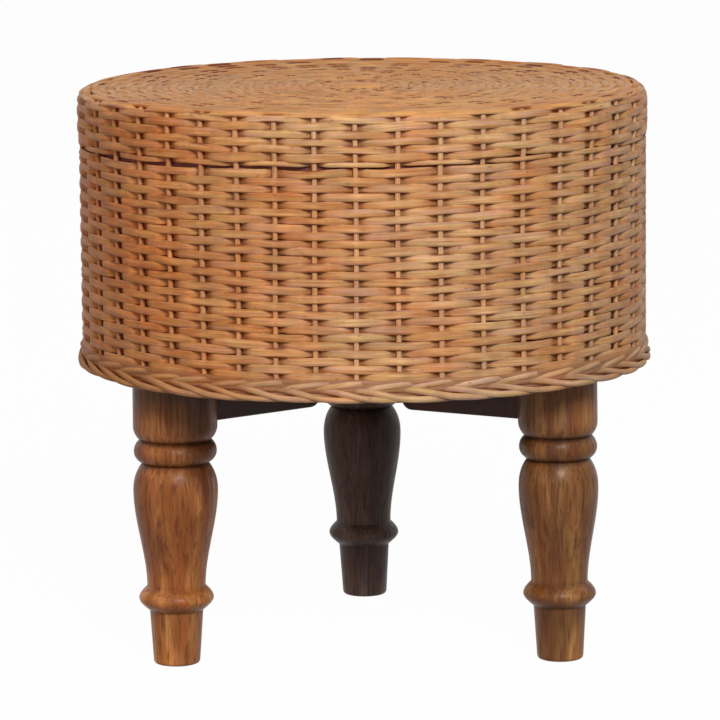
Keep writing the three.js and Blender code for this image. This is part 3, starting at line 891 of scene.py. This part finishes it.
class STOOL_OT_disc(bpy.types.Operator):
    """Coils a strand into the flat middle of the seat"""
    bl_idname = "stool.disc"
    bl_label = "Coil the middle"

    def execute(self, context):
        weave = context.scene.stool_weave
        width = weave.border_width
        turns = (weave.disc_radius + 1 * MM) / width
        angles = np.linspace(0.35 * 2 * math.pi, turns * 2 * math.pi, 240)
        line = round_the_stool(
            angles, width * angles / (2 * math.pi), SEAT_BOX[1].z - width / 2 - 1.2 * MM
        )
        bundle = Bundle(10)
        bundle.add(line, np.tile([0.0, 0.0, 1.0], (len(line), 1)), width, width * 0.97, 0.4, 0.6)
        finish_cane(context, bundle, "seat_disc")
        return {"FINISHED"}


# The way of a strand of the waling and of the border, as stakes round, metres out from the stool's
# middle and metres up from the floor
WALING_KNOTS = (
    (-0.3, 0.2205, 0.2382), (0.0, 0.2230, 0.2390), (0.35, 0.2248, 0.2404), (0.7, 0.2254, 0.2419),
    (1.0, 0.2251, 0.2430), (1.3, 0.2240, 0.2439), (1.65, 0.2226, 0.2443), (1.95, 0.2200, 0.2443),
)
BORDER_KNOTS = (
    (-0.4, 0.2200, 0.2386), (-0.15, 0.2228, 0.2385), (0.15, 0.2248, 0.2382), (0.4, 0.2260, 0.2372),
    (0.65, 0.2267, 0.2355), (0.9, 0.2270, 0.2336), (1.15, 0.2270, 0.2321), (1.45, 0.2268, 0.2313),
    (1.75, 0.2264, 0.2311), (2.05, 0.2250, 0.2311), (2.35, 0.2225, 0.2314), (2.7, 0.2185, 0.2322),
)
KNOT_STEPS = 5  # points of a strand from each knot to the next
# How one strand strays from the next in height, in stakes round and in girth, and how tall it is for
# its thickness
ROPE_LIFT, ROPE_STRAY, ROPE_SPREAD, ROPE_TALLNESS = 0.25 * MM, 0.08, 0.07, 1.14


def slanting_strands(context, name, knots, width, seed, node):
    """A rope-like ring of strands, one from each stake, along its knots."""
    weave = context.scene.stool_weave
    source = np.random.default_rng(seed)
    bundle = Bundle(10, 2.2)
    steps, radius, height = smooth_line(knots, KNOT_STEPS).T
    # Painted shade on the strands that lie further in
    tuck_shade = np.clip((max(radius) - radius) / (6 * MM), 0, 0.45)
    for stake in range(weave.stakes):
        lift = ROPE_LIFT * source.standard_normal()
        strayed = steps + ROPE_STRAY * source.standard_normal()
        angles = stake_angle(strayed + stake, weave.stakes)
        girth = width * (1 + ROPE_SPREAD * source.standard_normal())
        bundle.add(
            round_the_stool(angles, radius, height + lift), round_the_stool(angles, 1.0, 0.0), girth,
            ROPE_TALLNESS * girth, source.random(), source.random(), tuck_shade, 0.05,
        )
    # Rings of painted shade behind the gaps between the strands
    for level in np.linspace(min(height) + 0.7 * MM, max(height), 3):
        inner_ring(bundle, min(radius) + 4.2 * MM, level, width, 1.2 * width, source.random(), 0.6)
    finish_cane(context, bundle, name, [node], "border_finish")
    return {"FINISHED"}


class STOOL_OT_waling(bpy.types.Operator):
    """Twists the rods of the waling round the foot of the wall"""
    bl_idname = "stool.waling"
    bl_label = "Twist the waling"

    def execute(self, context):
        width = context.scene.stool_weave.wale_width
        return slanting_strands(context, "waling", WALING_KNOTS, width, 41, "wale_band")


class STOOL_OT_border(bpy.types.Operator):
    """Plaits the border under the waling"""
    bl_idname = "stool.border"
    bl_label = "Plait the border"

    def execute(self, context):
        width = context.scene.stool_weave.border_width
        return slanting_strands(context, "border", BORDER_KNOTS, width, 53, "border_plait")


# Wooden pieces

def curve_points(start, first, second, end, steps):
    """Points of a cubic curve after its start."""
    shares = [(i + 1) / steps for i in range(steps)]
    return [
        tuple(
            (1 - t) ** 3 * a + 3 * (1 - t) ** 2 * t * b + 3 * (1 - t) * t ** 2 * c + t ** 3 * d
            for a, b, c, d in zip(start, first, second, end)
        )
        for t in shares
    ]


def bend_points(start, control, end, steps):
    """Points of a quadratic curve after its start."""
    first = tuple(a + (b - a) * 2 / 3 for a, b in zip(start, control))
    second = tuple(a + (b - a) * 2 / 3 for a, b in zip(end, control))
    return curve_points(start, first, second, end, steps)


# Shares by which the curves of a leg hold their course, start from the ring's flanks and climb there
FULLNESS, FLANK, FLANK_CLIMB = 0.4, 0.3, 0.2


def leg_outline(leg):
    """Radius and height up the outside of a leg, and the height of its vase."""
    top = LEG_BOX[1].z
    shin_top, ring_bottom, ring_top = 42 * MM, 43.5 * MM, 62.5 * MM
    vase, neck, collar, block = 139 * MM, 161 * MM, 179.5 * MM, 191 * MM
    ring_middle, bead_middle = (ring_bottom + ring_top) / 2, (neck + collar) / 2
    rise, third = ring_middle - ring_bottom, (vase - ring_top) / 3
    bead_ease, block_ease = FULLNESS * (bead_middle - neck), FULLNESS * (block - collar)
    foot, ring, ankle, body = leg.foot_radius, leg.ring_radius, leg.ankle_radius, leg.vase_radius
    low_flank = leg.shin_radius + FLANK * (ring - leg.shin_radius)
    high_flank = ankle + FLANK * (ring - ankle)
    points = [(0.0, 0.0), (foot - leg.foot_rounding, 0.0)]

    def curve(first, second, end, steps):
        points.extend(curve_points(points[-1], first, second, end, steps))

    def bend(control, end, steps):
        points.extend(bend_points(points[-1], control, end, steps))

    bend((foot, 0.0), (foot, leg.foot_rounding), 5)
    points.append((leg.shin_radius, shin_top))
    bend((leg.shin_radius, ring_bottom), (leg.shin_radius + 0.6 * MM, ring_bottom), 3)
    curve(
        (low_flank, ring_bottom + FLANK_CLIMB * rise), (ring, ring_middle - FULLNESS * rise),
        (ring, ring_middle), 10,
    )
    curve(
        (ring, ring_middle + FULLNESS * rise), (high_flank, ring_top - FLANK_CLIMB * rise),
        (ankle, ring_top), 12,
    )
    curve((ankle, ring_top + third), (body, vase - third), (body, vase), 22)
    bend((body, neck - FULLNESS * (neck - vase)), (leg.neck_radius, neck), 10)
    bend((leg.bead_radius, neck + bead_ease), (leg.bead_radius, bead_middle), 9)
    bend((leg.bead_radius, collar - bead_ease), (leg.collar_radius, collar), 9)
    bend((leg.block_radius, collar + block_ease), (leg.block_radius, block), 9)
    points.extend([(leg.block_radius, top - 1 * MM), (leg.block_radius - 1 * MM, top), (0.0, top)])
    return points, vase


def leg_circle():
    """How far the legs stand from the stool's middle."""
    return (LEG_BOX[0].y + LEG_BOX[1].y) / 2


class STOOL_OT_legs(bpy.types.Operator):
    """Turns the three legs"""
    bl_idname = "stool.legs"
    bl_label = "Turn the legs"

    def execute(self, context):
        outline, vase = leg_outline(context.scene.stool_legs)
        colours = context.scene.stool_colours
        for side, (angle, girth, lean, shade, shadow_heights, lift) in LEG_SIDES.items():
            piece = self.turn(context, side, [
                (radius * (1 + (girth - 1) * min(height / vase, 1)), 0.0, height)
                for radius, height in outline
            ])
            turn = math.radians(angle)
            piece.location = (leg_circle() * math.cos(turn), leg_circle() * math.sin(turn), 0)
            piece.rotation_euler.z = turn
            bpy.ops.object.transform_apply(location=True, rotation=True, scale=True)
            # How much painted shade each groove lays on the wood here
            groove_shades = piece.data.attributes.new("groove", "FLOAT", "POINT").data
            for vertex, groove in zip(piece.data.vertices, groove_shades):
                groove.value = min(1, sum(
                    depth * math.exp(-((vertex.co.z - height * MM) / (reach * MM)) ** 2)
                    for height, reach, depth in GROOVE_SHADES
                ))
                vertex.co.x += lean * MM * (1 - vertex.co.z / vase)
            bpy.ops.object.shade_smooth_by_angle(angle=math.radians(40))
            # Painted shade: each leg's wood is multiplied by its shade, which darkens the back leg as though
            # it stood in the drum's shadow. The back leg also gets no coat, so it shows no sheen
            shades = [
                shaded(colour, shade)
                for colour in (colours.wood_pale, colours.wood_brown, colours.wood_dark)
            ]
            coat = 0.0 if side == "back" else 0.07
            wood = add_material(
                f"leg_finish_{side}",
                lambda name: wood_finish(name, *shades, 0.42, coat, shadow_heights=shadow_heights, lift=lift),
            )
            finish_piece(piece, wood, [f"leg_{side}"])
        return {"FINISHED"}

    def turn(self, context, side, profile):
        """A new leg, spun from its profile round the upright axis."""
        mesh = bpy.data.meshes.new(f"turned_leg_{side}")
        piece = bpy.data.objects.new(mesh.name, mesh)
        context.scene.collection.objects.link(piece)
        mesh.from_pydata(profile, [(i, i + 1) for i in range(len(profile) - 1)], [])
        select_only(piece)
        bpy.ops.object.mode_set(mode="EDIT")
        bpy.ops.mesh.select_all(action="SELECT")
        bpy.ops.mesh.spin(steps=72, angle=2 * math.pi, center=(0, 0, 0), axis=(0, 0, 1))
        bpy.ops.mesh.select_all(action="SELECT")
        bpy.ops.mesh.remove_doubles(threshold=1e-5)
        bpy.ops.mesh.normals_make_consistent(inside=False)
        bpy.ops.object.mode_set(mode="OBJECT")
        return piece


RAIL_START = 24 * MM  # a rail's outer end, from its leg's axis
RAIL_CORNER, RAIL_EDGE = 9 * MM, 1.2 * MM  # the rounded lower corner at its inner end, and its edges


class STOOL_OT_rails(bpy.types.Operator):
    """Shapes the rails from each leg towards the middle"""
    bl_idname = "stool.rails"
    bl_label = "Shape the rails"

    def execute(self, context):
        colours = context.scene.stool_colours
        low, high = RAIL_BOX
        inner, outer = low.y, leg_circle() - RAIL_START
        width, bottom, top = high.x - low.x, low.z, high.z
        for side, (*trims, shade) in RAIL_SIDES.items():
            deselect()
            bpy.ops.mesh.primitive_cube_add(
                size=1, location=((inner + outer) / 2, 0, (bottom + top) / 2),
                scale=(outer - inner, width, top - bottom),
            )
            piece = context.active_object
            piece.name = f"rail_bar_{side}"
            bpy.ops.object.transform_apply(location=True, rotation=True, scale=True)
            bpy.ops.object.mode_set(mode="EDIT")
            self.pick_edges(piece, lambda place: place.x < inner + MM and place.z < bottom + MM)
            bpy.ops.mesh.bevel(offset=RAIL_CORNER, segments=10)
            bpy.ops.mesh.select_all(action="SELECT")
            bpy.ops.mesh.normals_make_consistent(inside=False)
            bpy.ops.object.mode_set(mode="OBJECT")
            inner_trim, outer_trim, shorter = (trim * MM for trim in trims)
            for vertex in piece.data.vertices:
                share = (vertex.co.x - inner) / (outer - inner)
                if vertex.co.z < (bottom + top) / 2:
                    vertex.co.z += inner_trim + (outer_trim - inner_trim) * share
                if share < 0.5:
                    vertex.co.x += shorter
            eased_edges = piece.modifiers.new("eased_edges", "BEVEL")
            eased_edges.width, eased_edges.segments, eased_edges.limit_method = RAIL_EDGE, 3, "ANGLE"
            bpy.ops.object.modifier_apply(modifier=eased_edges.name)
            piece.rotation_euler.z = math.radians(LEG_SIDES[side][0])
            bpy.ops.object.transform_apply(location=True, rotation=True, scale=True)
            bpy.ops.object.shade_smooth_by_angle(angle=math.radians(35))
            # The right rail's shade lightens it as painted light
            brown, line = (shaded(colour, shade) for colour in (colours.rail_brown, colours.wood_dark))
            dark = add_material(
                f"rail_finish_{side}", lambda name: wood_finish(name, brown, brown, line, 0.5, 0.1, 0)
            )
            finish_piece(piece, dark, [f"rail_{side}"])
        return {"FINISHED"}

    def pick_edges(self, piece, wanted):
        """Selects the edges whose ends are both wanted."""
        bpy.ops.mesh.select_all(action="DESELECT")
        bpy.ops.mesh.select_mode(type="EDGE")
        shape = bmesh.from_edit_mesh(piece.data)
        for edge in shape.edges:
            edge.select_set(all(wanted(vertex.co) for vertex in edge.verts))
        bmesh.update_edit_mesh(piece.data)


class STOOL_OT_frame(bpy.types.Operator):
    """Gives the boards, posts, hoops and fasteners inside the drum their finishes"""
    bl_idname = "stool.frame"
    bl_label = "Finish the inner frame"

    def execute(self, context):
        colours = context.scene.stool_colours
        tan, pale, line = colours.board_tan[:], colours.wood_pale[:], colours.wood_brown[:]
        woods = {
            "board_finish": (tan, tan, line, 0.7, 0.0, 0, 0.5),
            "post_finish": (pale, pale, line, 0.6, 0.0),
            "hoop_finish": (tan, pale, line, 0.6, 0.0, 2, 0.6),
        }
        board, post, bent = (
            add_material(wood, lambda name: wood_finish(name, *woods[name])) for wood in woods
        )
        steel = add_material("steel_finish", self.steel)
        for name, node in frame["nodes"].items():
            if name.endswith("_board"):
                material = board
            elif name.endswith("_hoop"):
                material = bent
            elif name.startswith(("post_screw", "rail_screw", "leg_bolt", "leg_washer")):
                material = steel
            elif name.startswith("post_"):
                material = post
            else:
                continue
            node.data.materials.clear()
            node.data.materials.append(material)
        return {"FINISHED"}

    def steel(self, name):
        finish = Finish(name, 0.38)
        haze = finish.noise(finish.object_place(), scale=420.0)
        finish.shade(
            Metallic=1.0,
            Base_Color=finish.mix(haze, (0.42, 0.42, 0.41), (0.62, 0.61, 0.58)),
            Roughness=finish.remap(haze, 0.3, 0.7, 0.3, 0.5),
        )
        return finish.material


# Studio

# The camera: metres before the stool, up and to the side, then degrees, then the lens in millimetres
CAMERA_DISTANCE, CAMERA_HEIGHT, CAMERA_SIDE = 3.76318, 0.81916, -0.003567
CAMERA_PITCH, CAMERA_ROLL, CAMERA_YAW = 8.945, -0.526, 0.761
CAMERA_LENS = 237.37
# Each light: its place, its power in watts and its colour
LIGHTS = {
    "key_light": ((0.62, -3.1, 2.25), 89, (1.0, 0.99, 0.97)),
    "fill_light": ((-2.7, -2.0, 1.1), 18, (1.0, 0.7, 0.45)),
}
LIGHT_SIZE, LIGHT_AIM = 1.4, (0, 0, 0.3)
WHITE = (1.0, 1.0, 1.0)
AIR_LIGHT, AIR_SEEN = 0.12, 1.0  # how bright the air is as light on the stool, and where it is seen
FLOOR_PALE_SHARE = 0.02  # how much of the seen floor takes light and shade, the rest glows evenly


def seen_share(tree):
    """1 for rays from the camera, off gloss or through glass, and 0 for all others."""
    rays = tree.nodes.new("ShaderNodeLightPath").outputs
    mirrored = math_node(tree, "MAXIMUM", rays["Is Glossy Ray"], rays["Is Transmission Ray"])
    return math_node(tree, "MAXIMUM", rays["Is Camera Ray"], mirrored)


def mix_shaders(tree, share, first, second):
    """From the first shader to the second as the share goes from 0 to 1."""
    made = tree.nodes.new("ShaderNodeMixShader")
    for socket, value in zip(made.inputs, (share, first, second)):
        put(tree, socket, value)
    return made.outputs[0]


class STOOL_OT_studio(bpy.types.Operator):
    """Sets up the floor, the lights and the camera"""
    bl_idname = "stool.studio"
    bl_label = "Set up the studio"

    def execute(self, context):
        self.set_camera(context)
        self.set_floor()
        self.set_world(context)
        for name, (place, power, colour) in LIGHTS.items():
            self.add_light(context, name, place, power, colour)
        context.scene.view_settings.view_transform = "Standard"
        return {"FINISHED"}

    def set_camera(self, context):
        data = bpy.data.cameras.new("camera")
        data.sensor_width = 36
        data.lens = CAMERA_LENS
        data.clip_end = 100
        camera = bpy.data.objects.new("camera", data)
        context.scene.collection.objects.link(camera)
        pitch, roll = math.radians(CAMERA_PITCH), math.radians(CAMERA_ROLL)
        right = Vector((1, 0, 0))
        forward = Vector((0, math.cos(pitch), -math.sin(pitch)))
        over = Vector((0, math.sin(pitch), math.cos(pitch)))
        side = math.cos(roll) * right + math.sin(roll) * over
        rise = math.cos(roll) * over - math.sin(roll) * right
        turned = Matrix((side, rise, -forward)).transposed().to_4x4()
        placed = Matrix.Translation((CAMERA_SIDE, -CAMERA_DISTANCE, CAMERA_HEIGHT)) @ turned
        camera.matrix_world = Matrix.Rotation(-math.radians(CAMERA_YAW), 4, "Z") @ placed
        context.scene.camera = camera

    def set_floor(self):
        """A wide floor that is seen as white and throws little light back on the stool."""
        deselect()
        bpy.ops.mesh.primitive_plane_add(size=60, location=(0, 12, 0))
        floor = bpy.context.active_object
        floor.name = "floor"
        finish = Finish("pale_floor", 0.9, 0.0)
        finish.shade(Base_Color=(0.2, 0.2, 0.2))
        glow = finish.node("ShaderNodeEmission", Color=WHITE, Strength=1.0).outputs[0]
        pale = finish.node("ShaderNodeBsdfDiffuse", Color=(0.95, 0.95, 0.95)).outputs[0]
        seen = mix_shaders(finish.tree, FLOOR_PALE_SHARE, glow, pale)
        surface = mix_shaders(finish.tree, seen_share(finish.tree), finish.shader.outputs[0], seen)
        put(finish.tree, finish.output.inputs["Surface"], surface)
        floor.data.materials.append(finish.material)

    def set_world(self, context):
        world = bpy.data.worlds.new("studio_air")
        context.scene.world = world
        world.use_nodes = True
        tree = world.node_tree
        tree.nodes.clear()
        air, seen = (
            add_node(tree, "ShaderNodeBackground", Color=WHITE, Strength=strength).outputs[0]
            for strength in (AIR_LIGHT, AIR_SEEN)
        )
        surface = mix_shaders(tree, seen_share(tree), air, seen)
        add_node(tree, "ShaderNodeOutputWorld", Surface=surface)

    def add_light(self, context, name, place, power, colour):
        data = bpy.data.lights.new(name, "AREA")
        data.shape = "DISK"
        data.size = LIGHT_SIZE
        data.energy = power
        data.color = colour
        light = bpy.data.objects.new(name, data)
        context.scene.collection.objects.link(light)
        light.location = place
        aim = Vector(LIGHT_AIM) - Vector(place)
        light.rotation_euler = aim.to_track_quat("-Z", "Y").to_euler()


OPERATORS = [
    STOOL_OT_wall,
    STOOL_OT_cap,
    STOOL_OT_stakes,
    STOOL_OT_disc,
    STOOL_OT_waling,
    STOOL_OT_border,
    STOOL_OT_legs,
    STOOL_OT_rails,
    STOOL_OT_frame,
    STOOL_OT_studio,
]


class STOOL_PT_panel(bpy.types.Panel):
    """Lists the stool's settings and the steps that build it"""
    bl_idname = "STOOL_PT_panel"
    bl_label = "Woven stool"
    bl_space_type = "VIEW_3D"
    bl_region_type = "UI"
    bl_category = "Stool"

    def draw(self, context):
        layout = self.layout
        for operator in OPERATORS:
            layout.operator(operator.bl_idname)
        for name, group in SETTINGS.items():
            box = layout.box()
            for setting in group.__annotations__:
                box.prop(getattr(context.scene, name), setting)


def register():
    for group in (*SETTINGS.values(), *OPERATORS, STOOL_PT_panel):
        bpy.utils.register_class(group)
    for name, group in SETTINGS.items():
        setattr(bpy.types.Scene, name, PointerProperty(type=group))


def unregister():
    for name in SETTINGS:
        delattr(bpy.types.Scene, name)
    for group in reversed((*SETTINGS.values(), *OPERATORS, STOOL_PT_panel)):
        bpy.utils.unregister_class(group)


def main():
    register()
    for operator in OPERATORS:
        group, action = operator.bl_idname.split(".")
        if getattr(getattr(bpy.ops, group), action)() != {"FINISHED"}:
            raise RuntimeError(f"{operator.bl_label} did not finish")


if __name__ == "__main__":
    main()
